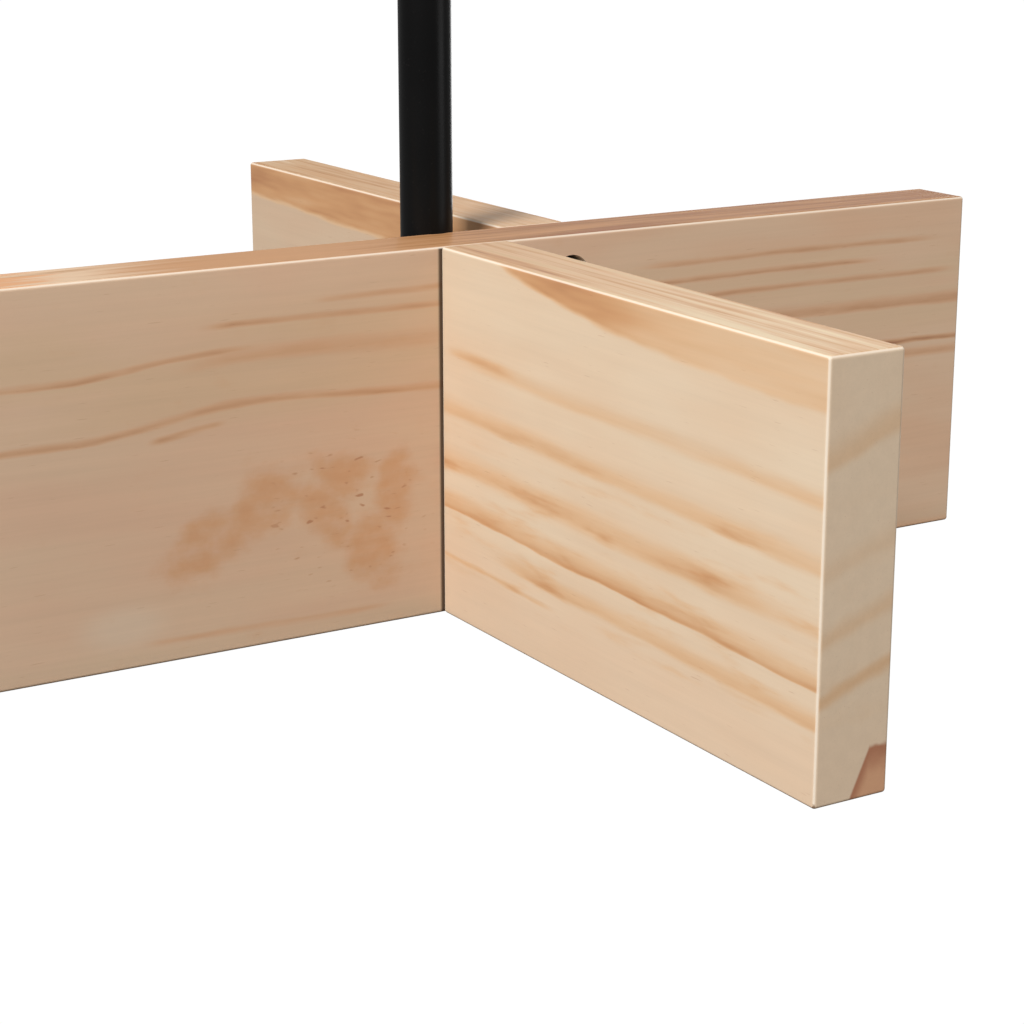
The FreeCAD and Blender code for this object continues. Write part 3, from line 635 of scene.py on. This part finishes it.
beech = rolled_beech()
wear("front_joint_dowels", beech)
wear("rear_joint_dowels", beech)


# ---- Ceiling plate ---------------------------------------------------------------------------------
# The ceiling plate is a zinc plated steel disc, screwed up to a joist through its four holes.
# A countersunk screw through its middle holds the socket, and both stay hidden by the canopy.
wear("ceiling_plate", zinc_plate)
wear("plate_centre_screw", zinc_plate)


# ---- Tube socket -----------------------------------------------------------------------------------
# The socket is turned from steel bar and enamelled like the tube. Three black grub screws round
# it clamp the tube's upper end.
wear("tube_socket", tube_enamel)
wear("socket_grub_screws", oiled_oxide)


# ---- Canopy ----------------------------------------------------------------------------------------
# The canopy is a cup spun from 1.2 mm steel with a collar welded under it, enamelled black. Its
# grub screw clamps the collar to the tube, and once slackened the cup slides down.
canopy_enamel = black_enamel("satin_canopy_enamel", 1.2 * MM, 0.34)
wear("canopy", canopy_enamel)
wear("canopy_collar", canopy_enamel)
wear("canopy_grub_screw", oiled_oxide)


# ---- Canopy bush -----------------------------------------------------------------------------------
# The bush is turned from natural nylon. Its flange lies on the canopy's floor and its sleeve goes
# down into the collar, so that the canopy runs on the tube without a scratch.
def natural_nylon():
    """Nylon: a warm, slightly clouded off white."""
    material, tree = new_material("natural_nylon")
    cloud = mottle(tree, 220.0, 3.0)
    colour = blend(tree, cloud, (0.70, 0.66, 0.55, 1), (0.80, 0.77, 0.68, 1))
    surface(tree, colour, 0.42, cloud, 0.15, 0.03, {"Specular IOR Level": 0.45})
    return material


wear("canopy_bush", natural_nylon())


# ---- Studio --------------------------------------------------------------------------------------
# A plain pale floor lies as far down as a room's floor does. The light is soft from all round,
# with a key above and to the left of the cross, and a weak fill and rim to its right.
CEILING_HEIGHT = 2.4
FLOOR_HALF = 60.0
SEEN_WHITE = 1.02
FLOOR_LIGHT = 0.27
SKY_LIGHT = 0.38
LAMP_DISTANCE = 2.2
CROSS = Vector((0.0, 0.0, -0.35))


def glow(tree, shed):
    """White where the floor or sky is itself seen, and only shed as the light it gives the rack."""
    direct = add(tree, "LightPath").outputs["Is Camera Ray"]
    return calc(tree, "MULTIPLY_ADD", direct, SEEN_WHITE - shed, shed)


def pale_floor():
    """A square floor far wider than any view, in plain glowing white."""
    level = cad_box[1].z - CEILING_HEIGHT
    corners = [(-FLOOR_HALF, -FLOOR_HALF, level), (FLOOR_HALF, -FLOOR_HALF, level),
               (FLOOR_HALF, FLOOR_HALF, level), (-FLOOR_HALF, FLOOR_HALF, level)]
    mesh = bpy.data.meshes.new("floor")
    mesh.from_pydata(corners, [], [(0, 1, 2, 3)])
    material, tree = new_material("pale_floor")
    white = add(tree, "Emission", {"Color": (1, 1, 1, 1), "Strength": glow(tree, FLOOR_LIGHT)})
    add(tree, "OutputMaterial", {"Surface": white.outputs[0]})
    mesh.materials.append(material)
    floor = bpy.data.objects.new("floor", mesh)
    bpy.context.scene.collection.objects.link(floor)
    return floor


floor = pale_floor()

world = bpy.data.worlds.new("studio")
bpy.context.scene.world = world
world.use_nodes = True
sky = world.node_tree
sky.nodes.clear()
white_sky = add(sky, "Background", {"Color": (1, 1, 1, 1), "Strength": glow(sky, SKY_LIGHT)})
add(sky, "OutputWorld", {"Surface": white_sky.outputs[0]})


def soft_box(name, direction, size, power):
    """A square lamp of size metres and power watts that faces the cross from that direction."""
    light = bpy.data.lights.new(name, "AREA")
    light.shape = "SQUARE"
    light.size = size
    light.energy = power
    lamp = bpy.data.objects.new(name, light)
    lamp.location = CROSS + LAMP_DISTANCE * Vector(direction)
    lamp.rotation_euler = (CROSS - lamp.location).to_track_quat("-Z", "Y").to_euler()
    bpy.context.scene.collection.objects.link(lamp)


soft_box("key", (-0.70, -0.32, 0.62), 0.7, 47.0)
soft_box("fill", (0.70, -0.70, 0.08), 1.0, 6.5)
soft_box("rim", (0.70, 0.71, 0.02), 1.2, 12.0)


# ---- Camera --------------------------------------------------------------------------------------
# The camera hangs in front of the rack, to its left and a little above the boards, and looks
# slightly down at the crossing through a long lens with no shift.
SENSOR = 36.0
LENS = 84.059
CAMERA_PLACE = Vector((-279.0, -502.85, -221.1)) * MM
YAW = math.radians(31.08)
PITCH = math.radians(15.61)

camera_data = bpy.data.cameras.new("camera")
camera_data.sensor_width = SENSOR
camera_data.lens = LENS
camera_data.clip_start = 0.01
camera = bpy.data.objects.new("camera", camera_data)
camera.location = CAMERA_PLACE
aim = Vector((math.sin(YAW) * math.cos(PITCH), math.cos(YAW) * math.cos(PITCH), -math.sin(PITCH)))
camera.rotation_euler = aim.to_track_quat("-Z", "Y").to_euler()
bpy.context.scene.collection.objects.link(camera)
bpy.context.scene.camera = camera
bpy.context.scene.view_settings.view_transform = "Standard"
